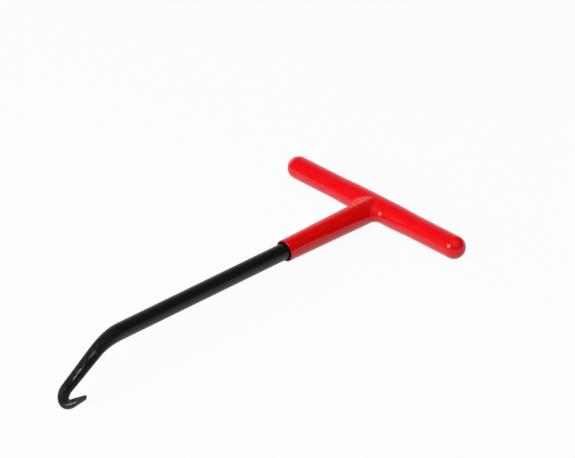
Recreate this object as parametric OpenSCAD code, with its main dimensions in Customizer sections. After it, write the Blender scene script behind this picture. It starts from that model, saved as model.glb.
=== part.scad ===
// Spring puller: a steel shaft that ends in a forged hook, welded to a short cross bar,
// with the T handle dipped in soft plastic. The shaft runs along X, the handle along Y, Z is up.
// The tool lies as it is put down, on the underside of its handle and the beak of its hook.

/* [Bar stock] */
// Diameter of the round steel bar that the shaft and the cross bar are cut from
stock_d = 6.6; // [5.4:0.1:8]

/* [Shaft] */
// Distance from the axis of the cross bar to the corner of the bend
shaft_len = 140; // [110:1:180]
// Angle that the arm is bent down by
bend_angle = 34; // [28:1:40]
// Radius of the bend, on the centre line
bend_r = 22.5; // [16:0.5:30]

/* [Hook] */
// Diameter where the arm leaves the bend
neck_d = 5.3; // [4.5:0.1:6]
// Straight length of the arm, from the bend to the hook
arm_len = 17; // [13:0.5:26]
// Diameter where the arm runs into the hook
throat_d = 4.7; // [3.8:0.1:5.2]
// Radius of the hook, on the centre line
hook_r = 4.2; // [3.8:0.1:6]
// Angle that the hook turns through
hook_turn = 143; // [130:1:150]
// Straight length of the beak, past the hook
beak_len = 6.2; // [4.5:0.1:8]
// Thickness of the beak at its blunt end
beak_d = 2.1; // [1.4:0.1:2.6]
// Slope of the blunt end, the inner side being the longer
beak_slope = 35; // [0:1:45]
// Rounding on the edge of the blunt end
beak_edge = 0.3; // [0.1:0.05:0.5]
// Roundness of the forged section at the beak, 2 being a circle and less a soft ridge
beak_form = 1.6; // [1.4:0.05:2]

/* [Handle] */
// Length of the handle over its plastic coat
handle_len = 95.5; // [80:0.5:120]
// Thickness of the plastic coat on the cross bar
handle_coat = 1.35; // [1:0.05:2]
// Thickness of the coat past the ends of the cross bar
end_coat = 2.4; // [2:0.1:4]
// Extra coat that gathers where the shaft and the cross bar meet
crown = 0.3; // [0.1:0.05:0.6]
// Length over which that extra coat runs out along the handle
crown_run = 13; // [3:0.5:16]
// Chamfer on the ends of the cross bar
cross_chamfer = 0.8; // [0.4:0.1:1.2]

/* [Sleeve] */
// Distance from the axis of the cross bar to the end of the coat on the shaft
sleeve_len = 49; // [35:0.5:65]
// Thickness of the coat at its end on the shaft
sleeve_coat = 1.05; // [0.8:0.05:1.4]
// Step from the crown of the handle down to the sleeve
sleeve_step = 0.05; // [0.05:0.05:0.3]
// Radius that blends the sleeve into the handle
blend_r = 3; // [1.5:0.1:4.5]
// Rounding of the lip at the end of the coat
lip_r = 0.35; // [0.2:0.05:0.5]
// Gap round the shaft at the mouth of the coat, where it has shrunk back
mouth_gap = 0.5; // [0.2:0.05:0.6]
// Depth of that gap along the shaft
mouth_depth = 2; // [1:0.1:4]

/* [Weld] */
// Depth that the shaft is let into the side of the cross bar
cope = 0.8; // [0.5:0.1:1.2]
// Leg of the weld bead on the cross bar
bead_leg = 0.7; // [0.4:0.1:0.9]
// Thickness of the bead where it runs out on the shaft
bead_toe = 0.15; // [0.1:0.05:0.3]

/* [Hidden] */
$fn = 64;

stock_r = stock_d / 2;
handle_r = stock_r + handle_coat;
crown_r = handle_r + crown;
root_r = crown_r - sleeve_step;
end_r = stock_r + sleeve_coat;
root_x = stock_r - cope;
bend_x = shaft_len - bend_r * tan(bend_angle / 2);
hook_arc = hook_r * hook_turn * PI / 180;

// The forged end: steps along each stretch, sides of the section, and its start inside the plain shaft
bend_steps = 14;
arm_steps = 6;
hook_steps = 30;
beak_steps = 6;
sides = 40;
lap = stock_r / 6;
seam = stock_r / 150;

function mix(a, b, u) = a + (b - a) * u;
function ease(u) = u * u * (3 - 2 * u);
function spow(v, e) = sign(v) * pow(abs(v), e);

// A station on the centre line is [x, z, slope below the shaft, radius, section exponent]
function bend_at(u) = let (a = bend_angle * u)
    [bend_x + bend_r * sin(a), -bend_r * (1 - cos(a)), a, mix(stock_r - seam, neck_d / 2, ease(u)), 2];
arm_0 = bend_at(1);
function arm_at(u) =
    [arm_0[0] + arm_len * u * cos(bend_angle), arm_0[1] - arm_len * u * sin(bend_angle), bend_angle,
     mix(neck_d, throat_d, u) / 2, mix(2, mix(2, beak_form, 0.4), u)];
hook_0 = arm_at(1);
function drawn(s) = s / (hook_arc + beak_len);
function taper(s) = mix(throat_d, beak_d, pow(drawn(s), 2)) / 2;
function form(s) = mix(mix(2, beak_form, 0.4), beak_form, drawn(s));
function hook_at(u) = let (a = bend_angle + hook_turn * u, s = hook_arc * u)
    [hook_0[0] + hook_r * (sin(a) - sin(bend_angle)), hook_0[1] + hook_r * (cos(a) - cos(bend_angle)), a,
     taper(s), form(s)];
beak_0 = hook_at(1);
function beak_at(u) = let (a = bend_angle + hook_turn, s = beak_len * u)
    [beak_0[0] + s * cos(a), beak_0[1] - s * sin(a), a, taper(hook_arc + s), form(hook_arc + s)];

stations = concat(
    [[bend_x - lap, 0, 0, stock_r - seam, 2]],
    [for (i = [1:bend_steps]) bend_at(i / bend_steps)],
    [for (i = [1:arm_steps]) arm_at(i / arm_steps)],
    [for (i = [1:hook_steps]) hook_at(i / hook_steps)],
    [for (i = [1:beak_steps]) beak_at(i / beak_steps)]);

// One ring of the section; the slope draws the outer side of the blunt end back
function ring(p, slope) = [for (i = [0:sides - 1]) let (
    a = 360 * i / sides,
    n = p[3] * spow(cos(a), 2 / p[4]),
    b = p[3] * spow(sin(a), 2 / p[4]),
    t = -n * tan(slope))
    [p[0] + n * sin(p[2]) + t * cos(p[2]), b, p[1] + n * cos(p[2]) - t * sin(p[2])]];

// The blunt end: the sloping cut, with its edge broken by a small round
function cut_at(u) = let (p = beak_at(1), r = p[3], e = min(beak_edge, r / 2))
    [p[0] + e * sin(90 * u) * cos(p[2]), p[1] - e * sin(90 * u) * sin(p[2]), p[2],
     r - e * (1 - cos(90 * u)), p[4]];
last = len(stations) - 1;
rings = concat(
    [for (i = [0:last]) ring(stations[i], beak_slope * max(0, (i - last + beak_steps) / beak_steps))],
    [for (k = [1:3]) ring(cut_at(k / 3), beak_slope)]);

module forged_end() {
    count = len(rings);
    polyhedron(
        points = [for (r = rings) each r],
        faces = concat(
            [[for (i = [sides - 1:-1:0]) i]],
            [for (j = [0:count - 2], i = [0:sides - 1]) let (
                a = j * sides + i, b = j * sides + (i + 1) % sides)
                each [[a, b, a + sides], [b, b + sides, a + sides]]],
            [[for (i = [0:sides - 1]) (count - 1) * sides + i]]),
        convexity = 6);
}

// The skin of the dipped T: three tubes that meet in a blend rolled between the sleeve and the handle.
// half is the number of sides on half a tube, arc the steps across the blend.
half = 24;
arc = 10;
run_steps = 4;
round_steps = 8;
lip_steps = 3;
around = 2 * half;
reach = crown_r + blend_r;
ball = root_r + blend_r;
sleeve_x = reach + blend_r / 6;
side_y = ball + blend_r / 6;
dome_y = handle_len / 2 - handle_r;

// Point of the blend at the angle a round the sleeve: u is 0 on the sleeve and 1 on the handle
function blend(a, u) = let (
    z = ball * sin(a),
    x = sqrt(reach * reach - z * z),
    s = [0, -cos(a), -sin(a)],
    h = [-x, 0, -z] / reach,
    w = acos(s * h))
    [x, ball * cos(a), z] + blend_r * (sin((1 - u) * w) * s + sin(u * w) * h) / sin(w);
function turn(i) = 90 - 180 * i / half;
function lean(i) = let (z = ball * sin(turn(i))) atan2(z, sqrt(reach * reach - z * z));
function round_bar(i) = i <= half ? lean(i) : mix(-lean(0), lean(0) - 360, (i - half) / half);
function sleeve_r(x) = mix(root_r, end_r, (x - sleeve_x) / (sleeve_len - sleeve_x));

// Sleeve rings are [x, radius], handle rings [y, radius]
sleeve_rings = concat(
    [[sleeve_x, root_r], [sleeve_len - lip_r, sleeve_r(sleeve_len - lip_r)]],
    [for (k = [1:lip_steps]) let (a = 90 * k / lip_steps)
        [sleeve_len - lip_r * (1 - sin(a)), sleeve_r(sleeve_len) - lip_r * (1 - cos(a))]]);
handle_rings = concat(
    [for (k = [0:run_steps]) let (u = k / run_steps)
        [side_y + crown_run * u, mix(crown_r, handle_r, ease(u))]],
    [[dome_y, handle_r]],
    [for (k = [1:round_steps - 1]) let (a = 90 * k / round_steps)
        [dome_y + handle_r * sin(a), handle_r * cos(a)]]);
blend_rows = arc + 1;
sleeve_rows = len(sleeve_rings);
handle_rows = len(handle_rings);

at_sleeve = blend_rows * around;
at_back = at_sleeve + sleeve_rows * around;
at_left = at_back + half - 1;
at_right = at_left + handle_rows * around;
at_ends = at_right + handle_rows * around;

function on_bar(i, y, r) = [r * cos(round_bar(i)), y, r * sin(round_bar(i))];
skin_points = concat(
    [for (j = [0:arc], i = [0:around - 1]) blend(turn(i), j / arc)],
    [for (p = sleeve_rings, i = [0:around - 1]) [p[0], p[1] * cos(turn(i)), p[1] * sin(turn(i))]],
    [for (k = [1:half - 1]) on_bar(half + k, 0, crown_r)],
    [for (p = handle_rings, i = [0:around - 1]) on_bar(i, p[0], p[1])],
    [for (p = handle_rings, i = [0:around - 1]) on_bar(i, -p[0], p[1])],
    [[0, handle_len / 2, 0], [0, -handle_len / 2, 0]]);

// The ring that both ends of the handle grow from: the edge of the blend, then round the back
function seat(i, side) = i > half ? at_back + i - half - 1
    : arc * around + (side > 0 ? i : (around - i) % around);
function strip(lower, upper, flip) = [for (i = [0:around - 1]) let (
    a = lower[i], b = lower[(i + 1) % around], c = upper[i], d = upper[(i + 1) % around])
    each flip ? [[a, b, c], [b, d, c]] : [[a, c, b], [b, c, d]]];
function row(start, k) = [for (i = [0:around - 1]) start + k * around + i];
function half_bar(start, side) = concat(
    strip([for (i = [0:around - 1]) seat(i, side)], row(start, 0), side > 0),
    [for (k = [0:handle_rows - 2]) each strip(row(start, k), row(start, k + 1), side > 0)],
    let (tip = at_ends + (side > 0 ? 0 : 1), r = row(start, handle_rows - 1))
        [for (i = [0:around - 1]) side > 0 ? [r[i], r[(i + 1) % around], tip]
            : [r[i], tip, r[(i + 1) % around]]]);

module skin() {
    polyhedron(
        points = skin_points,
        faces = concat(
            [for (j = [0:arc - 1]) each strip(row(0, j), row(0, j + 1), true)],
            strip(row(0, 0), row(at_sleeve, 0), false),
            [for (k = [0:sleeve_rows - 2]) each strip(row(at_sleeve, k), row(at_sleeve, k + 1), false)],
            [row(at_sleeve, sleeve_rows - 1)],
            half_bar(at_left, 1),
            half_bar(at_right, -1)),
        convexity = 6);
}

// The rest position: the shaft tips up until the handle and the beak touch one plane
function lowest(tip) = min([for (r = rings, p = r) p[0] * sin(tip) + p[2] * cos(tip)]);
function settle(lo, hi, n) = n == 0 ? (lo + hi) / 2
    : let (m = (lo + hi) / 2) lowest(m) > -crown_r ? settle(lo, m, n - 1) : settle(m, hi, n - 1);
tip_up = settle(0, 30, 40);
front_x = max([for (r = rings, p = r) p[0] * cos(tip_up) - p[2] * sin(tip_up)]);

module lie_down() {
    translate([(crown_r - front_x) / 2, 0, crown_r]) rotate([0, -tip_up, 0]) children();
}

module along_x(x) { translate([x, 0, 0]) rotate([0, 90, 0]) children(); }

// Steel of the cross bar, with chamfered ends
module cross_steel() {
    end_y = handle_len / 2 - end_coat;
    rotate([90, 0, 0]) rotate_extrude()
        polygon([[0, -end_y], [stock_r - cross_chamfer, -end_y], [stock_r, -end_y + cross_chamfer],
            [stock_r, end_y - cross_chamfer], [stock_r - cross_chamfer, end_y], [0, end_y]]);
}

// Straight part of the shaft, before its end is fitted to the cross bar
module plain_shaft() { along_x(root_x) cylinder(r = stock_r, h = bend_x - root_x); }

// Cone of weld metal, before the bar and the shaft are taken out of it
module bead_cone() {
    along_x(0) cylinder(r1 = stock_r + bead_leg, r2 = stock_r + bead_toe, h = stock_r + bead_leg);
}

// Where the coat stands off the shaft at the end of the sleeve
module mouth() {
    along_x(sleeve_len - mouth_depth) cylinder(r = stock_r + mouth_gap, h = mouth_depth + lip_r);
}

module shaft() {
    color("#1b1b1c") lie_down() union() {
        difference() { plain_shaft(); cross_steel(); }
        forged_end();
    }
}

module cross_bar() { color("#55585c") lie_down() cross_steel(); }

module weld_bead() {
    color("#6d6a66") lie_down() difference() { bead_cone(); cross_steel(); plain_shaft(); }
}

module grip() {
    color("#e0121c") lie_down() difference() {
        skin();
        cross_steel();
        bead_cone();
        plain_shaft();
        mouth();
    }
}

shaft();
cross_bar();
weld_bead();
grip();
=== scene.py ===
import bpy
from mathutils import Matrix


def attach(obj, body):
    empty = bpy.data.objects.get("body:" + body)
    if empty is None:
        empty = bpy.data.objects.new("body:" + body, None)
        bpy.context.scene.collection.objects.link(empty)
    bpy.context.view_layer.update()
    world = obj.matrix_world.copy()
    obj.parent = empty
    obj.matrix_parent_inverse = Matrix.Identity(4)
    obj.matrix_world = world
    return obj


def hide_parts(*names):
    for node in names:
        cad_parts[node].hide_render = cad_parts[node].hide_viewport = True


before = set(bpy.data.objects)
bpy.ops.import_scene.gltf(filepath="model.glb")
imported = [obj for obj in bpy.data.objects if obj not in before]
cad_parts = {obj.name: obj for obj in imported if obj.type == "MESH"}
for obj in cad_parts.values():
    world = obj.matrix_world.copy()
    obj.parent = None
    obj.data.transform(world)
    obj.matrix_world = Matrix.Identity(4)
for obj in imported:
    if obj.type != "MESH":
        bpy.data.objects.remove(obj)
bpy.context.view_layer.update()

import math

import bmesh
import bpy
from mathutils import Matrix, Vector


# ---------------------------------------------------------------------------
# Shaft: 6.6 mm round drawn steel bar, finished in satin black. Its far end is bent down,
# drawn out to a taper and forged round into a small hook with a blunt beak; the forging
# leaves a soft ridge on each side, and rubbing on springs has worn the black thin there. The
# worn lines also carry a painted highlight, and the beak's underside and tip a painted floor reflection.
# ---------------------------------------------------------------------------
MM = 0.001
TIP_UP = math.radians(6.512296)     # the tool lies on its handle and its beak, so the shaft tips up
HANDLE_AT = (-79.922, 4.95)         # axis of the handle: X and Z at rest
BAR_R = 3.3
SEEN_R = BAR_R - 0.02               # a hair inside the hollow of the coat, so that the two share no face
ROOT_X = 2.5                        # the root of the shaft, within the cross bar
BEND, BEND_R, BEND_X = math.radians(34), 22.5, 133.121
ARM_LEN, NECK_R, THROAT_R = 17.0, 2.65, 2.35
HOOK_R, HOOK_TURN = 4.2, math.radians(143)
BEAK_LEN, BEAK_R, BEAK_EDGE = 6.2, 1.05, 0.3
BEAK_SLOPE, BEAK_SLANT = BEND + HOOK_TURN, math.tan(math.radians(35))
BEAK_FROM, BEAK_FULL = 0.5, 0.75    # shares of the hook's turn, between which it becomes the beak
ROUND, ARM_FORM, BEAK_FORM = 2.0, 1.84, 1.6     # exponents of the section: below 2 it has soft ridges
HOOK_ARC = HOOK_R * HOOK_TURN
DRAWN_LEN = HOOK_ARC + BEAK_LEN     # the stretch that is drawn out, from the throat to the beak's end


def lie_down(x, y, z):
    """A point of the tool, shaft along X and hook down, in mm, where it lies at rest, in metres."""
    return Vector((x * math.cos(TIP_UP) - z * math.sin(TIP_UP) + HANDLE_AT[0], y,
                   x * math.sin(TIP_UP) + z * math.cos(TIP_UP) + HANDLE_AT[1])) * MM


def mix(a, b, u):
    """From a, at u 0, to b, at u 1, in a straight line."""
    return a + (b - a) * u


def ease(u):
    """From 0 to 1 with a soft start and a soft end."""
    return u * u * (3 - 2 * u)


def steps(count):
    """Even steps that start just after 0 and end at 1."""
    return [i / count for i in range(1, count + 1)]


# The centre line, from the root in the handle to the blunt end
stations = []


def station(x, z, slope, radius, section_form, forged=1.0, slant=0.0, beak=0.0):
    """Adds a place on the centre line: where it is, its slope below the shaft, the radius and form of
    the section, how far it is forged, how the end slants there and how much it belongs to the beak."""
    along = 0.0
    if stations:
        last = stations[-1]
        along = last["along"] + math.hypot(x - last["x"], z - last["z"]) * MM
    stations.append({"x": x, "z": z, "slope": slope, "bar_radius": radius * MM, "section_form": section_form,
                     "forged": forged, "slant": slant, "beak": beak, "along": along})


def line_end():
    return stations[-1]["x"], stations[-1]["z"]


for u in [0.0] + steps(60):
    station(mix(ROOT_X, BEND_X, u), 0.0, 0.0, SEEN_R, ROUND, forged=0.0)
for u in steps(40):
    station(BEND_X + BEND_R * math.sin(BEND * u), -BEND_R * (1 - math.cos(BEND * u)), BEND * u,
            mix(SEEN_R, NECK_R, ease(u)), ROUND, forged=ease(u))
x0, z0 = line_end()
for u in steps(48):
    station(x0 + ARM_LEN * u * math.cos(BEND), z0 - ARM_LEN * u * math.sin(BEND), BEND,
            mix(NECK_R, THROAT_R, u), mix(ROUND, ARM_FORM, u))
x0, z0 = line_end()
for u in steps(72):
    slope, drawn = BEND + HOOK_TURN * u, HOOK_ARC * u / DRAWN_LEN
    station(x0 + HOOK_R * (math.sin(slope) - math.sin(BEND)),
            z0 + HOOK_R * (math.cos(slope) - math.cos(BEND)), slope,
            mix(THROAT_R, BEAK_R, drawn ** 2), mix(ARM_FORM, BEAK_FORM, drawn),
            beak=ease(min(1.0, max(0.0, (u - BEAK_FROM) / (BEAK_FULL - BEAK_FROM)))))
x0, z0 = line_end()
for u in steps(24):
    drawn = (HOOK_ARC + BEAK_LEN * u) / DRAWN_LEN
    station(x0 + BEAK_LEN * u * math.cos(BEAK_SLOPE), z0 - BEAK_LEN * u * math.sin(BEAK_SLOPE), BEAK_SLOPE,
            mix(THROAT_R, BEAK_R, drawn ** 2), mix(ARM_FORM, BEAK_FORM, drawn),
            slant=BEAK_SLANT * u, beak=1.0)
x0, z0 = line_end()
for u in steps(6):
    out, inward = BEAK_EDGE * math.sin(math.pi / 2 * u), BEAK_EDGE * (1 - math.cos(math.pi / 2 * u))
    station(x0 + out * math.cos(BEAK_SLOPE), z0 - out * math.sin(BEAK_SLOPE), BEAK_SLOPE,
            BEAK_R - inward, BEAK_FORM, slant=BEAK_SLANT, beak=1.0)


def new_piece(name, points, edges=(), faces=()):
    """An object at the origin, with a mesh of these points."""
    shape = bpy.data.meshes.new(name)
    shape.from_pydata([tuple(p) for p in points], edges, faces)
    piece = bpy.data.objects.new(name, shape)
    bpy.context.scene.collection.objects.link(piece)
    return piece


centres = [lie_down(s["x"], 0, s["z"]) for s in stations]
headings = [lie_down(math.cos(s["slope"]), 0, -math.sin(s["slope"])) - lie_down(0, 0, 0) for s in stations]
shaft = new_piece("shaft_bar", centres, edges=[(i, i + 1) for i in range(len(centres) - 1)])
for label in ("bar_radius", "section_form", "forged", "slant", "beak", "along"):
    kept = shaft.data.attributes.new(label, "FLOAT", "POINT")
    kept.data.foreach_set("value", [s[label] for s in stations])
for label, vectors in (("centre", centres), ("heading", headings)):
    kept = shaft.data.attributes.new(label, "FLOAT_VECTOR", "POINT")
    kept.data.foreach_set("vector", [number for v in vectors for number in v])


def fit(tree, made, inputs):
    """Links or sets the inputs of a node."""
    for name, value in inputs.items():
        if isinstance(value, bpy.types.NodeSocket):
            tree.links.new(value, made.inputs[name])
        else:
            made.inputs[name].default_value = value


def put(tree, kind, inputs=None, **settings):
    """Adds a node, with its settings and its inputs."""
    made = tree.nodes.new(kind)
    made.location = (200 * (len(tree.nodes) % 12), -260 * (len(tree.nodes) // 12))
    for name, value in settings.items():
        setattr(made, name, value)
    fit(tree, made, inputs or {})
    return made


def calc(tree, operation, *values):
    """One step of arithmetic on single values."""
    return put(tree, "ShaderNodeMath", dict(enumerate(values)), operation=operation).outputs[0]


def product(tree, *values):
    """Single values multiplied together."""
    found = values[0]
    for value in values[1:]:
        found = calc(tree, "MULTIPLY", found, value)
    return found


def vector(tree, operation, *values):
    """One step of arithmetic on vectors."""
    inputs = dict(enumerate(values))
    if operation == "SCALE":
        inputs = {0: values[0], "Scale": values[1]}
    made = put(tree, "ShaderNodeVectorMath", inputs, operation=operation)
    return made.outputs["Value" if operation == "DOT_PRODUCT" else "Vector"]


def three(tree, x, y, z):
    """A vector of three single values."""
    return put(tree, "ShaderNodeCombineXYZ", {0: x, 1: y, 2: z}).outputs[0]


def named(tree, name, kind="FLOAT"):
    """An attribute of the line, for a geometry tree."""
    return put(tree, "GeometryNodeInputNamedAttribute", {"Name": name}, data_type=kind).outputs["Attribute"]


def new_tree(name, kind, inputs, outputs):
    """An empty node tree with named sockets; gives the tree, its input node and its output node."""
    tree = bpy.data.node_groups.new(name, kind)
    for direction, sockets in (("INPUT", inputs), ("OUTPUT", outputs)):
        for label, socket, start in sockets:
            made = tree.interface.new_socket(label, in_out=direction, socket_type=socket)
            if start is not None:
                made.default_value = start
    return tree, put(tree, "NodeGroupInput"), put(tree, "NodeGroupOutput")


# The bar is swept along that line. Its section goes from round to ridged, its end is cut on the
# slant, and the hammer's soft flats are pressed inwards on the forged stretch only.
forged_bar, given, result = new_tree("forged_bar", "GeometryNodeTree", [
    ("Line", "NodeSocketGeometry", None), ("Sides", "NodeSocketInt", 64),
    ("Hammer Depth", "NodeSocketFloat", 0.0), ("Hammer Scale", "NodeSocketFloat", 300.0),
    ("Seed", "NodeSocketFloat", 0.0), ("Finish", "NodeSocketMaterial", None)],
    [("Bar", "NodeSocketGeometry", None)])
FLATS_R, FLATS_RUN = 0.0035, 0.6    # the hammer's pattern lies round a tube of this radius, drawn out along it
tree = forged_bar
ring = put(tree, "GeometryNodeCurvePrimitiveCircle", {"Resolution": given.outputs["Sides"], "Radius": MM})
path = put(tree, "GeometryNodeMeshToCurve", {"Mesh": given.outputs["Line"]})
tube = put(tree, "GeometryNodeCurveToMesh", {
    "Curve": path.outputs[0], "Profile Curve": ring.outputs["Curve"], "Fill Caps": True})
centre = named(tree, "centre", "FLOAT_VECTOR")
heading = vector(tree, "NORMALIZE", named(tree, "heading", "FLOAT_VECTOR"))
side = (0.0, 1.0, 0.0)
top = vector(tree, "CROSS_PRODUCT", heading, side)
position = put(tree, "GeometryNodeInputPosition").outputs[0]
spoke = vector(tree, "NORMALIZE", vector(tree, "SUBTRACT", position, centre))
up, across = vector(tree, "DOT_PRODUCT", spoke, top), vector(tree, "DOT_PRODUCT", spoke, side)
form = named(tree, "section_form")
round_up, round_across = (calc(tree, "POWER", calc(tree, "ABSOLUTE", v), form) for v in (up, across))
swell = calc(tree, "POWER", calc(tree, "ADD", round_up, round_across), calc(tree, "DIVIDE", -1.0, form))
wrapped = three(tree, product(tree, up, FLATS_R), product(tree, across, FLATS_R),
                product(tree, named(tree, "along"), FLATS_RUN))
flats = put(tree, "ShaderNodeTexNoise", {
    "Vector": wrapped, "W": given.outputs["Seed"], "Scale": given.outputs["Hammer Scale"], "Detail": 1.5},
    noise_dimensions="4D")
press = product(tree, flats.outputs["Fac"], named(tree, "forged"), given.outputs["Hammer Depth"])
reach = product(tree, swell, calc(tree, "SUBTRACT", named(tree, "bar_radius"), press))
high, wide = product(tree, up, reach), product(tree, across, reach)
lead = product(tree, high, named(tree, "slant"), -1.0)
off_plane = vector(tree, "ADD", vector(tree, "SCALE", side, wide), vector(tree, "SCALE", heading, lead))
spot = vector(tree, "ADD", centre, vector(tree, "ADD", vector(tree, "SCALE", top, high), off_plane))
mapped = put(tree, "GeometryNodeStoreNamedAttribute", {
    "Geometry": tube.outputs[0], "Name": "bar_coord", "Value": three(tree, high, wide, named(tree, "along"))},
    data_type="FLOAT_VECTOR", domain="POINT")
swept = put(tree, "GeometryNodeSetPosition", {"Geometry": mapped.outputs[0], "Position": spot})
smooth = put(tree, "GeometryNodeSetShadeSmooth", {"Geometry": swept.outputs[0]})
whole = put(tree, "GeometryNodeRealizeInstances", {"Geometry": smooth.outputs[0]})
dressed = put(tree, "GeometryNodeSetMaterial", {
    "Geometry": whole.outputs[0], "Material": given.outputs["Finish"]})
tree.links.new(dressed.outputs[0], result.inputs["Bar"])


# Fine lines that drawing leaves along a bar: long in the third coordinate, close together across
draw_lines, given, result = new_tree("draw_lines", "ShaderNodeTree", [
    ("Coordinates", "NodeSocketVector", None), ("Density", "NodeSocketFloat", 4000.0),
    ("Stretch", "NodeSocketFloat", 0.02)],
    [("Lines", "NodeSocketFloat", None)])
pulled = vector(draw_lines, "MULTIPLY", given.outputs["Coordinates"],
                three(draw_lines, 1.0, 1.0, given.outputs["Stretch"]))
grain = put(draw_lines, "ShaderNodeTexNoise", {
    "Vector": pulled, "Scale": given.outputs["Density"], "Detail": 3.0, "Roughness": 0.6})
draw_lines.links.new(grain.outputs["Fac"], result.inputs["Lines"])

# Uneven handling of a surface: a value that drifts between Low and High in soft patches
handling, given, result = new_tree("handling", "ShaderNodeTree", [
    ("Coordinates", "NodeSocketVector", None), ("Scale", "NodeSocketFloat", 200.0),
    ("Low", "NodeSocketFloat", 0.2), ("High", "NodeSocketFloat", 0.4)],
    [("Value", "NodeSocketFloat", None), ("Patches", "NodeSocketFloat", None)])
patches = put(handling, "ShaderNodeTexNoise", {
    "Vector": given.outputs["Coordinates"], "Scale": given.outputs["Scale"], "Detail": 4.0, "Roughness": 0.55})
drift = put(handling, "ShaderNodeMapRange", {
    "Value": patches.outputs["Fac"], "From Min": 0.3, "From Max": 0.7,
    "To Min": given.outputs["Low"], "To Max": given.outputs["High"]})
handling.links.new(drift.outputs[0], result.inputs["Value"])
handling.links.new(patches.outputs["Fac"], result.inputs["Patches"])


def new_finish(name):
    """A material with nothing but its shader; gives the material, its tree and the shader."""
    finish = bpy.data.materials.new(name)
    finish.use_nodes = True
    finish.node_tree.nodes.clear()
    shader = put(finish.node_tree, "ShaderNodeBsdfPrincipled")
    put(finish.node_tree, "ShaderNodeOutputMaterial", {"Surface": shader.outputs[0]})
    return finish, finish.node_tree, shader


def use(tree, effect, **inputs):
    """Places a shared effect in a material, with its own values."""
    return put(tree, "ShaderNodeGroup", inputs, node_tree=effect).outputs


def ramp(tree, value, low, high, start=0.0, end=1.0):
    """Eases from start to end as a value goes from low to high."""
    return put(tree, "ShaderNodeMapRange", {
        "Value": value, "From Min": low, "From Max": high, "To Min": start, "To Max": end},
        interpolation_type="SMOOTHSTEP").outputs[0]


def band(tree, value, middle, half):
    """1 where a value is at the middle of a band, falling to 0 at its edges."""
    return ramp(tree, calc(tree, "ABSOLUTE", calc(tree, "SUBTRACT", value, middle)), half, 0.0)


def stretch(tree, place, begins, ends):
    """1 on a stretch of the bar; each end is a pair, where the value is 0 and where it is 1."""
    return product(tree, ramp(tree, place, *begins), ramp(tree, place, *ends))


def tint(tree, factor, plain, full):
    """Two colours mixed by a mask."""
    return put(tree, "ShaderNodeMix", {"Factor": factor, "A": plain, "B": full},
               data_type="RGBA").outputs["Result"]


def relief(tree, height, strength, distance):
    """A normal that shows a fine pattern as raised."""
    return put(tree, "ShaderNodeBump", {
        "Strength": strength, "Distance": distance, "Height": height}).outputs[0]


BLACK_SCALE, GREY_SCALE = (0.0055, 0.0055, 0.0057, 1), (0.018, 0.018, 0.0191, 1)
# worn thin black, lightened also as a painted floor reflection, and bare metal, bright also as a painted
# highlight
THIN_BLACK_REFLECTION, BARE_METAL_GLINT = (0.075, 0.075, 0.074, 1), (0.55, 0.548, 0.542, 1)
LACQUERED, BURNT_OFF = 0.45, 0.06       # coat of lacquer on the drawn bar, and where it was forged
FORGED_DULL, BARE_SHINE = 0.08, 0.15    # roughness that forging adds, and how metallic bare steel looks
BEAK_LIGHTEN, TIP_LIGHTEN = 0.2, 0.9          # how far the black is rubbed down on the beak, and at its tip, and lightened there as a painted floor reflection
LINE_RELIEF, STREAK_RELIEF = 0.4, 0.6
# where each pattern starts to show in its noise, and where it shows in full
DASH_CUT, SCALE_CUT, STREAK_CUT, PATCH_CUT = (0.40, 0.54), (0.51, 0.62), (0.22, 0.42), (0.30, 0.55)
# wear and painted highlight, by its place along the bar in metres and its angle round the section in radians
LOW_ARM, LOW_WEAR_GLINT = ((0.1500, 0.1518), (0.1580, 0.1564)), 0.46
HIGH_ARM, HIGH_WEAR_GLINT = ((0.1432, 0.1446), (0.1484, 0.1472)), 0.16
EDGE_GLINT_ANGLE, RIDGE, WEAR_HALF = 0.64, 2.2, 0.24
RIDGE_RUN, RIDGE_TURN, RIDGE_CLIMB = ((0.1660, 0.1672), (0.1730, 0.1716)), 0.17145, 9.5e6
TIP_RUN, TIP_DROP, SOLE = (0.1706, 0.1738), 1.2, (2.05, 1.75)

black_steel, tree, shader = new_finish("satin_black_steel")
bar_coord = put(tree, "ShaderNodeAttribute", attribute_name="bar_coord").outputs["Vector"]
forged = put(tree, "ShaderNodeAttribute", attribute_name="forged").outputs["Fac"]
beak = put(tree, "ShaderNodeAttribute", attribute_name="beak").outputs["Fac"]
high, wide, along = put(tree, "ShaderNodeSeparateXYZ", {0: bar_coord}).outputs
# angle round the section: 0 on the outer side of the bend, a right angle on each flank
angle = calc(tree, "ARCTAN2", calc(tree, "ABSOLUTE", wide), high)
lines = use(tree, draw_lines, Coordinates=bar_coord, Density=3200.0, Stretch=0.02)["Lines"]
streaks = use(tree, draw_lines, Coordinates=bar_coord, Density=1500.0, Stretch=0.18)["Lines"]
dashes = use(tree, draw_lines, Coordinates=bar_coord, Density=2600.0, Stretch=0.22)["Lines"]
rubbed = use(tree, handling, Coordinates=bar_coord, Scale=260.0, Low=0.36, High=0.46)
# bare metal, bright also as a painted highlight: a broken line along the arm, and a ridge that climbs the
# flank of the beak
on_arm = calc(tree, "MAXIMUM", product(tree, stretch(tree, along, *LOW_ARM), LOW_WEAR_GLINT),
              product(tree, stretch(tree, along, *HIGH_ARM), HIGH_WEAR_GLINT))
edge_wear_glint = product(tree, band(tree, angle, EDGE_GLINT_ANGLE, WEAR_HALF), on_arm, ramp(tree, dashes, *DASH_CUT))
before_beak = calc(tree, "MAXIMUM", 0.0, calc(tree, "SUBTRACT", RIDGE_TURN, along))
flank = calc(tree, "ADD", angle, product(tree, calc(tree, "POWER", before_beak, 3.0), RIDGE_CLIMB))
ridge = product(tree, band(tree, flank, RIDGE, WEAR_HALF), stretch(tree, along, *RIDGE_RUN),
                ramp(tree, streaks, *STREAK_CUT))
wear_and_glint = calc(tree, "MAXIMUM", edge_wear_glint, ridge)
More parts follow.
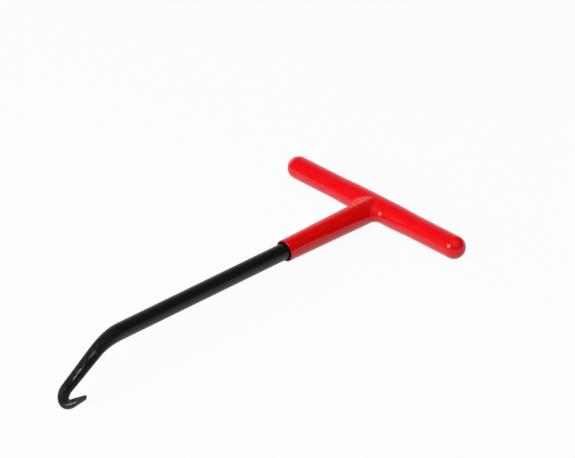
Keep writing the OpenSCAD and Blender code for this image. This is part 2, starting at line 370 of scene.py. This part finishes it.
# thin black, lightened also as a painted floor reflection: in patches below that ridge, a little all over the
# beak, and most at its tip
near_tip = ramp(tree, along, *TIP_RUN)
below = calc(tree, "SUBTRACT", flank, product(tree, near_tip, TIP_DROP))
sole_wear_reflection = product(tree, ramp(tree, below, *SOLE), beak, ramp(tree, rubbed["Patches"], *PATCH_CUT))
tip_wear_reflection = calc(tree, "ADD", product(tree, beak, BEAK_LIGHTEN), product(tree, near_tip, TIP_LIGHTEN))
wear_and_reflection = calc(tree, "MAXIMUM", sole_wear_reflection, tip_wear_reflection)
# the scale of the forging is streaked with grey, and duller than the drawn bar but for that worn place
colour = tint(tree, product(tree, ramp(tree, dashes, *SCALE_CUT), forged), BLACK_SCALE, GREY_SCALE)
# painted light: the worn lines are bright also as a painted highlight, and the beak's underside and tip
# lighter also as a painted floor reflection
colour = tint(tree, wear_and_glint, tint(tree, wear_and_reflection, colour, THIN_BLACK_REFLECTION), BARE_METAL_GLINT)
off_sole = calc(tree, "SUBTRACT", 1.0, sole_wear_reflection)
dull = calc(tree, "ADD", rubbed["Value"], product(tree, forged, FORGED_DULL, off_sole))
height = calc(tree, "ADD", product(tree, lines, LINE_RELIEF), product(tree, streaks, forged, STREAK_RELIEF))
# the lacquer lies on the drawn bar and is mostly burnt off where the bar was forged
lacquer = put(tree, "ShaderNodeMapRange", {
    "Value": forged, "To Min": LACQUERED, "To Max": BURNT_OFF}).outputs[0]
fit(tree, shader, {
    "Base Color": colour, "Roughness": dull, "Metallic": product(tree, wear_and_glint, BARE_SHINE),
    "IOR": 1.4, "Specular IOR Level": 0.16, "Coat Weight": lacquer, "Coat Roughness": 0.38,
    "Normal": relief(tree, height, strength=0.5, distance=0.00003)})


def grow(piece, tree, sizes):
    """Runs a geometry tree on a piece and keeps the result as the piece's plain mesh."""
    modifier = piece.modifiers.new(tree.name, "NODES")
    modifier.node_group = tree
    for item in tree.interface.items_tree:
        if item.in_out == "INPUT" and item.name in sizes:
            modifier[item.identifier] = sizes[item.name]
    graph = bpy.context.evaluated_depsgraph_get()
    shape = bpy.data.meshes.new_from_object(piece.evaluated_get(graph))
    piece.modifiers.remove(modifier)
    piece.data = shape
    shape.name = piece.name


grow(shaft, forged_bar, {
    "Sides": 64, "Hammer Depth": 0.00006, "Hammer Scale": 420.0, "Seed": 3.0, "Finish": black_steel})
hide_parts("shaft")
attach(shaft, "root")


# ---------------------------------------------------------------------------
# Cross bar and weld: a short length of the same bar, left bright, with a ring of weld that
# holds the coped end of the shaft. The coat hides both, so they stay as the frame has them.
# ---------------------------------------------------------------------------
DRAWN_DARK, DRAWN_BRIGHT = (0.30, 0.31, 0.32, 1), (0.42, 0.43, 0.44, 1)
WELD_BROWN, WELD_GREY = (0.16, 0.13, 0.11, 1), (0.36, 0.35, 0.34, 1)

bright_bar, tree, shader = new_finish("drawn_bright_steel")
place = put(tree, "ShaderNodeTexCoord").outputs["Object"]
turned = put(tree, "ShaderNodeMapping", {"Vector": place, "Rotation": (math.pi / 2, 0, 0)}).outputs[0]
lines = use(tree, draw_lines, Coordinates=turned, Density=3200.0, Stretch=0.02)["Lines"]
rubbed = use(tree, handling, Coordinates=place, Scale=260.0, Low=0.28, High=0.42)
fit(tree, shader, {
    "Base Color": tint(tree, lines, DRAWN_DARK, DRAWN_BRIGHT), "Roughness": rubbed["Value"],
    "Metallic": 1.0, "Normal": relief(tree, lines, strength=0.4, distance=0.00002)})

weld_metal, tree, shader = new_finish("weld_metal")
place = put(tree, "ShaderNodeTexCoord").outputs["Object"]
crust = use(tree, handling, Coordinates=place, Scale=900.0, Low=0.35, High=0.6)
fit(tree, shader, {
    "Base Color": tint(tree, crust["Patches"], WELD_BROWN, WELD_GREY), "Roughness": crust["Value"],
    "Metallic": 1.0, "Normal": relief(tree, crust["Patches"], strength=0.6, distance=0.00005)})
for node, finish in (("cross_bar", bright_bar), ("weld_bead", weld_metal)):
    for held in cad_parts[node].material_slots:
        held.material = finish


# ---------------------------------------------------------------------------
# Grip: one coat of soft red plastic, dipped over the cross bar, the weld and the first part of
# the shaft. It runs smooth into the corners, gathers a little at the joint, and ends in a cut
# edge with a rounded lip.
# ---------------------------------------------------------------------------
HANDLE_LEN, HANDLE_R, CROWN_R, CROWN_RUN = 95.5, 4.65, 4.95, 13.0
SLEEVE_LEN, ROOT_R, END_R, LIP_R = 49.0, 4.9, 4.35, 0.35
BLEND_R = 4.2                        # the corner between handle and sleeve, as if a ball had rolled round it
END_COAT = 2.4                       # thickness of the coat over each end of the cross bar
MOUTH_GAP, MOUTH_DEPTH = 0.5, 2.0    # where the coat has shrunk back from the shaft at its end
BEAD_LEG, BEAD_TOE = 0.7, 0.15       # how far the weld inside stands off the bar, at its foot and its thin end
HALF, ARC = 48, 20                   # sides on half a tube, steps across the rolled corner
AROUND = 2 * HALF
REACH, BALL = CROWN_R + BLEND_R, ROOT_R + BLEND_R
CLEAR = BLEND_R / 6                  # the plain tubes start this far beyond the corner
SLEEVE_X, SIDE_Y, DOME_Y = REACH + CLEAR, BALL + CLEAR, HANDLE_LEN / 2 - HANDLE_R


def turn(i):
    """Angle round the sleeve of its side number i."""
    return math.pi / 2 - math.pi * i / HALF


def corner(a, u):
    """Point of the rolled corner at the angle a round the sleeve, from the sleeve, u 0, to the handle, u 1."""
    z = BALL * math.sin(a)
    x = math.sqrt(REACH * REACH - z * z)
    to_sleeve, to_bar = Vector((0, -math.cos(a), -math.sin(a))), Vector((-x, 0, -z)) / REACH
    return Vector((x, BALL * math.cos(a), z)) + BLEND_R * to_sleeve.slerp(to_bar, u)


def lean(i):
    """Angle round the handle at which the rolled corner meets it on side number i."""
    z = BALL * math.sin(turn(i))
    return math.atan2(z, math.sqrt(REACH * REACH - z * z))


def bar_point(i, y, r):
    """Point of the handle in line with side number i of the sleeve, going on round the back."""
    a = lean(i) if i <= HALF else mix(-lean(0), lean(0) - 2 * math.pi, (i - HALF) / HALF)
    return Vector((r * math.cos(a), y, r * math.sin(a)))


coat = bmesh.new()


def row_of(points):
    return [coat.verts.new(lie_down(*p)) for p in points]


def skin_between(lower, upper):
    for i in range(AROUND):
        coat.faces.new((lower[i], lower[(i + 1) % AROUND], upper[(i + 1) % AROUND], upper[i]))


def arc_steps(count):
    """Even steps over a right angle, that start just after 0."""
    return [math.pi / 2 * i / count for i in range(1, count + 1)]


rows = [row_of(corner(turn(i), j / ARC) for i in range(AROUND)) for j in range(ARC + 1)]
for lower, upper in zip(rows, rows[1:]):
    skin_between(lower, upper)
lower = rows[0]
sleeve = [(mix(SLEEVE_X, SLEEVE_LEN - LIP_R, u), 0.0) for u in [0.0] + steps(30)]
sleeve += [(SLEEVE_LEN - LIP_R * (1 - math.sin(a)), LIP_R * (1 - math.cos(a))) for a in arc_steps(8)]
for x, cut in sleeve:
    r = mix(ROOT_R, END_R, (x - SLEEVE_X) / (SLEEVE_LEN - SLEEVE_X)) - cut
    upper = row_of((x, r * math.cos(turn(i)), r * math.sin(turn(i))) for i in range(AROUND))
    skin_between(lower, upper)
    lower = upper
coat.faces.new(lower)
back_row = row_of(bar_point(HALF + k, 0, CROWN_R) for k in range(1, HALF))
bar_rows = [(SIDE_Y + CROWN_RUN * u, mix(CROWN_R, HANDLE_R, ease(u))) for u in [0.0] + steps(12)]
bar_rows += [(mix(SIDE_Y + CROWN_RUN, DOME_Y, u), HANDLE_R) for u in steps(16)]
bar_rows += [(DOME_Y + HANDLE_R * math.sin(a), HANDLE_R * math.cos(a)) for a in arc_steps(20)[:-1]]
for way in (1, -1):
    lower = [rows[ARC][i if way > 0 else -i] if i <= HALF else back_row[i - HALF - 1] for i in range(AROUND)]
    for y, r in bar_rows:
        upper = row_of(bar_point(i, way * y, r) for i in range(AROUND))
        skin_between(lower, upper)
        lower = upper
    pole = coat.verts.new(lie_down(0, way * HANDLE_LEN / 2, 0))
    for i in range(AROUND):
        coat.faces.new((lower[i], lower[(i + 1) % AROUND], pole))
bmesh.ops.recalc_face_normals(coat, faces=coat.faces)
grip = new_piece("dipped_grip", [])
coat.to_mesh(grip.data)
coat.free()

# The coat sags a hair unevenly as it cures. The steel inside leaves its own hollow in it, and at
# the end of the sleeve the coat stands off the shaft
dip_over_steel, given, result = new_tree("dip_over_steel", "GeometryNodeTree", [
    ("Skin", "NodeSocketGeometry", None), ("Sag", "NodeSocketFloat", 0.0),
    ("Sag Scale", "NodeSocketFloat", 60.0), ("Seed", "NodeSocketFloat", 0.0),
    ("Bar Radius", "NodeSocketFloat", 0.003), ("Bar Length", "NodeSocketFloat", 0.09),
    ("Bead Leg", "NodeSocketFloat", 0.0007), ("Bead Toe", "NodeSocketFloat", 0.00015),
    ("Sleeve Length", "NodeSocketFloat", 0.049), ("Mouth Gap", "NodeSocketFloat", 0.0005),
    ("Mouth Depth", "NodeSocketFloat", 0.002), ("Finish", "NodeSocketMaterial", None)],
    [("Coat", "NodeSocketGeometry", None)])
SIDES = 64
PAST_END = 1.2                       # the shaft's hollow is this many sleeves long, so it opens the mouth
FOLD = 0.7                           # edges folded more than this, in radians, stay crisp
tree = dip_over_steel
waves = put(tree, "ShaderNodeTexNoise", {
    "W": given.outputs["Seed"], "Scale": given.outputs["Sag Scale"], "Detail": 1.0}, noise_dimensions="4D")
sunk = product(tree, waves.outputs["Fac"], given.outputs["Sag"], -1.0)
skin = put(tree, "GeometryNodeSetPosition", {
    "Geometry": given.outputs["Skin"],
    "Offset": vector(tree, "SCALE", put(tree, "GeometryNodeInputNormal").outputs[0], sunk)})
skin = put(tree, "GeometryNodeSetShadeSmooth", {"Geometry": skin.outputs[0]})


def rod(radius, depth):
    """A round bar to cut out of the coat."""
    return put(tree, "GeometryNodeMeshCylinder", {"Vertices": SIDES, "Radius": radius, "Depth": depth},
               fill_type="NGON")


def hollow(solid, at, turned):
    """A solid moved to where it is cut out of the coat."""
    return put(tree, "GeometryNodeTransform", {
        "Geometry": solid.outputs["Mesh"], "Translation": at, "Rotation": turned}).outputs[0]


joint = lie_down(0, 0, 0)
along_handle, along_shaft = (math.pi / 2, 0, 0), (0.0, math.pi / 2 - TIP_UP, 0.0)
bar_radius = given.outputs["Bar Radius"]
bead_len = calc(tree, "ADD", bar_radius, given.outputs["Bead Leg"])
bead = put(tree, "GeometryNodeMeshCone", {
    "Vertices": SIDES, "Radius Bottom": bead_len, "Depth": bead_len,
    "Radius Top": calc(tree, "ADD", bar_radius, given.outputs["Bead Toe"])}, fill_type="NGON")
shell = skin.outputs[0]
for space in (
        hollow(rod(bar_radius, given.outputs["Bar Length"]), joint, along_handle),
        hollow(rod(bar_radius, product(tree, given.outputs["Sleeve Length"], PAST_END)),
               lie_down(PAST_END / 2 * SLEEVE_LEN, 0, 0), along_shaft),
        hollow(bead, joint, along_shaft),
        hollow(rod(calc(tree, "ADD", bar_radius, given.outputs["Mouth Gap"]),
                   product(tree, given.outputs["Mouth Depth"], 2.0)),
               lie_down(SLEEVE_LEN, 0, 0), along_shaft)):
    shell = put(tree, "GeometryNodeMeshBoolean", {"Mesh 1": shell, "Mesh 2": space},
                operation="DIFFERENCE", solver="EXACT").outputs["Mesh"]
fold = calc(tree, "GREATER_THAN", put(tree, "GeometryNodeInputMeshEdgeAngle").outputs[0], FOLD)
crisp = put(tree, "GeometryNodeSetShadeSmooth", {"Geometry": shell, "Selection": fold, "Shade Smooth": False},
            domain="EDGE")
whole = put(tree, "GeometryNodeRealizeInstances", {"Geometry": crisp.outputs[0]})
dressed = put(tree, "GeometryNodeSetMaterial", {
    "Geometry": whole.outputs[0], "Material": given.outputs["Finish"]})
tree.links.new(dressed.outputs[0], result.inputs["Coat"])

RED, BRIGHT_RED = (0.79, 0.002, 0.007, 1), (0.85, 0.003, 0.009, 1)
# the second colour here is painted shade, for the cut end of the sleeve
DEEP_RED, PAINTED_END_SHADE = (0.75, 0.0012, 0.002, 1), (0.14, 0.002, 0.002, 1)
END_SHADE_FROM, END_SHADE_FULL = SLEEVE_LEN - 0.20, SLEEVE_LEN - 0.05

red_dip, tree, shader = new_finish("glossy_red_dip")
place = put(tree, "ShaderNodeTexCoord").outputs["Object"]
gloss = use(tree, handling, Coordinates=place, Scale=180.0, Low=0.16, High=0.20)
depth = use(tree, handling, Coordinates=place, Scale=45.0, Low=0.0, High=1.0)
ripple = use(tree, handling, Coordinates=place, Scale=700.0, Low=0.0, High=1.0)
# over the black shaft the coat is thinner, and its red a little deeper
over_shaft = ramp(tree, put(tree, "ShaderNodeSeparateXYZ", {0: place}).outputs[0],
                  (HANDLE_AT[0] + CROWN_R) * MM, (HANDLE_AT[0] + CROWN_R + BLEND_R) * MM)
# painted shade: the cut end of the sleeve is painted a dark maroon
from_joint = vector(tree, "DOT_PRODUCT", vector(tree, "SUBTRACT", place, joint),
                    (math.cos(TIP_UP), 0, math.sin(TIP_UP)))
end_shade = ramp(tree, from_joint, END_SHADE_FROM * MM, END_SHADE_FULL * MM)
colour = tint(tree, over_shaft, tint(tree, depth["Value"], RED, BRIGHT_RED), DEEP_RED)
fit(tree, shader, {
    "Base Color": tint(tree, end_shade, colour, PAINTED_END_SHADE), "Roughness": gloss["Value"], "IOR": 1.43,
    "Normal": relief(tree, ripple["Value"], strength=0.05, distance=0.00002)})

grow(grip, dip_over_steel, {
    "Sag": 0.000015, "Sag Scale": 90.0, "Seed": 5.0, "Bar Radius": BAR_R * MM,
    "Bar Length": (HANDLE_LEN - 2 * END_COAT) * MM, "Bead Leg": BEAD_LEG * MM, "Bead Toe": BEAD_TOE * MM,
    "Sleeve Length": SLEEVE_LEN * MM, "Mouth Gap": MOUTH_GAP * MM, "Mouth Depth": MOUTH_DEPTH * MM,
    "Finish": red_dip})
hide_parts("grip")
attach(grip, "root")


# ---------------------------------------------------------------------------
# Studio: a plain white floor that the tool lies on, a low round lamp on its hook side and a soft
# overhead fill. The surroundings are dark, with a low glow on the hook side, a faint ceiling, the
# far end of a white sweep and a pale panel off one end of the handle for the gloss to show.
# ---------------------------------------------------------------------------
FLOOR_HALF, FLOOR_DROP = 20, 0.00005    # metres: it reaches far, and lies a hair under the tool
FLOOR_GREY = (0.60, 0.60, 0.60, 1)      # what it throws back on the tool
FLOOR_WHITE = 0.95                      # share of plain white in what is seen; the rest keeps the shadow
floor = new_piece("floor", [(x * FLOOR_HALF, y * FLOOR_HALF, -FLOOR_DROP)
                            for x, y in ((-1, -1), (1, -1), (1, 1), (-1, 1))], faces=[(0, 1, 2, 3)])
white, tree, shader = new_finish("white_floor")
fit(tree, shader, {"Base Color": FLOOR_GREY, "Roughness": 0.9, "Specular IOR Level": 0.0})
ray = put(tree, "ShaderNodeLightPath").outputs
mirrored = calc(tree, "MAXIMUM", ray["Is Glossy Ray"], ray["Is Transmission Ray"])
seen = calc(tree, "MAXIMUM", ray["Is Camera Ray"], mirrored)
glow = put(tree, "ShaderNodeEmission", {"Color": (1, 1, 1, 1), "Strength": 1.0})
both = put(tree, "ShaderNodeMixShader", {
    0: product(tree, seen, FLOOR_WHITE), 1: shader.outputs[0], 2: glow.outputs[0]})
tree.links.new(both.outputs[0], tree.get_output_node("ALL").inputs["Surface"])
floor.data.materials.append(white)

YAW, PITCH, ROLL = (math.radians(a) for a in (139.81, 34.61, -6.16))
AIM_AT, DISTANCE = Vector((-79.874, 0, 4.7)), 1656.4    # mm: a point in the handle's joint, and how far it is
PER_MM, SEEN_AT, IMAGE = 2.561, (375.2, 207.4), (575, 458)      # pixels: in a mm there, its place, the picture
FILM = 36.0
to_camera = Vector((math.sin(YAW) * math.cos(PITCH), -math.cos(YAW) * math.cos(PITCH), math.sin(PITCH)))
level = Vector((math.cos(YAW), math.sin(YAW), 0))
right = math.cos(ROLL) * level + math.sin(ROLL) * to_camera.cross(level)
upright = to_camera.cross(right)
camera = bpy.data.objects.new("camera", bpy.data.cameras.new("camera"))
bpy.context.scene.collection.objects.link(camera)
camera.location = (AIM_AT + DISTANCE * to_camera - right * (SEEN_AT[0] - IMAGE[0] / 2) / PER_MM
                   + upright * (SEEN_AT[1] - IMAGE[1] / 2) / PER_MM) * MM
camera.rotation_euler = Matrix((right, upright, to_camera)).transposed().to_euler()
camera.data.sensor_width = FILM
camera.data.lens = FILM * PER_MM * DISTANCE / IMAGE[0]
bpy.context.scene.camera = camera


def lamp(name, way, far, size, power, in_gloss=True):
    """A round soft lamp that looks at the joint of the handle from the direction way."""
    made = bpy.data.objects.new(name, bpy.data.lights.new(name, "AREA"))
    bpy.context.scene.collection.objects.link(made)
    made.data.shape, made.data.size, made.data.energy = "DISK", size, power
    made.location = joint + way.normalized() * far
    made.rotation_euler = way.to_track_quat("Z", "Y").to_euler()
    made.visible_glossy = in_gloss


lamp("low_lamp", Vector((0.84, -0.18, 0.51)), far=1.0, size=0.58, power=6.7)
lamp("top_fill", Vector((0, 0.40, 0.92)), far=2.0, size=2.6, power=30.7, in_gloss=False)

# the surroundings: how bright each place is, and between which parts of a direction it sets in
DARK, LOW_GLOW, CEILING_GLOW = 0.03, 0.3, 0.11
LOW_BAND, HOOK_SIDE, OVERHEAD, PANEL_EDGE = (0.0, 0.3), (-0.1, 0.5), (0.84, 0.94), (0.78, 0.94)
SWEEP_WAY, SWEEP_SHARP = Vector((-to_camera.x, -to_camera.y, 0)).normalized(), 6.0
PANEL_WAY = Vector((-0.1, -1, 0.15)).normalized()
world = bpy.data.worlds.new("studio")
world.use_nodes = True
world.node_tree.nodes.clear()
tree = world.node_tree
way = put(tree, "ShaderNodeTexCoord").outputs["Generated"]
parts = put(tree, "ShaderNodeSeparateXYZ", {0: way}).outputs
near_floor = ramp(tree, parts["Z"], *LOW_BAND, start=LOW_GLOW, end=DARK)
ceiling = ramp(tree, parts["Z"], *OVERHEAD, start=DARK, end=CEILING_GLOW)
beyond = calc(tree, "MAXIMUM", vector(tree, "DOT_PRODUCT", way, SWEEP_WAY), 0.0)
sweep = calc(tree, "POWER", beyond, SWEEP_SHARP)
panel = ramp(tree, vector(tree, "DOT_PRODUCT", way, PANEL_WAY), *PANEL_EDGE)
glow = product(tree, near_floor, ramp(tree, parts["X"], *HOOK_SIDE))
for other in (ceiling, sweep, panel):
    glow = calc(tree, "MAXIMUM", glow, other)
sky = put(tree, "ShaderNodeBackground", {"Color": (1, 1, 1, 1), "Strength": glow})
put(tree, "ShaderNodeOutputWorld", {"Surface": sky.outputs[0]})
bpy.context.scene.world = world
bpy.context.scene.view_settings.view_transform = "Standard"
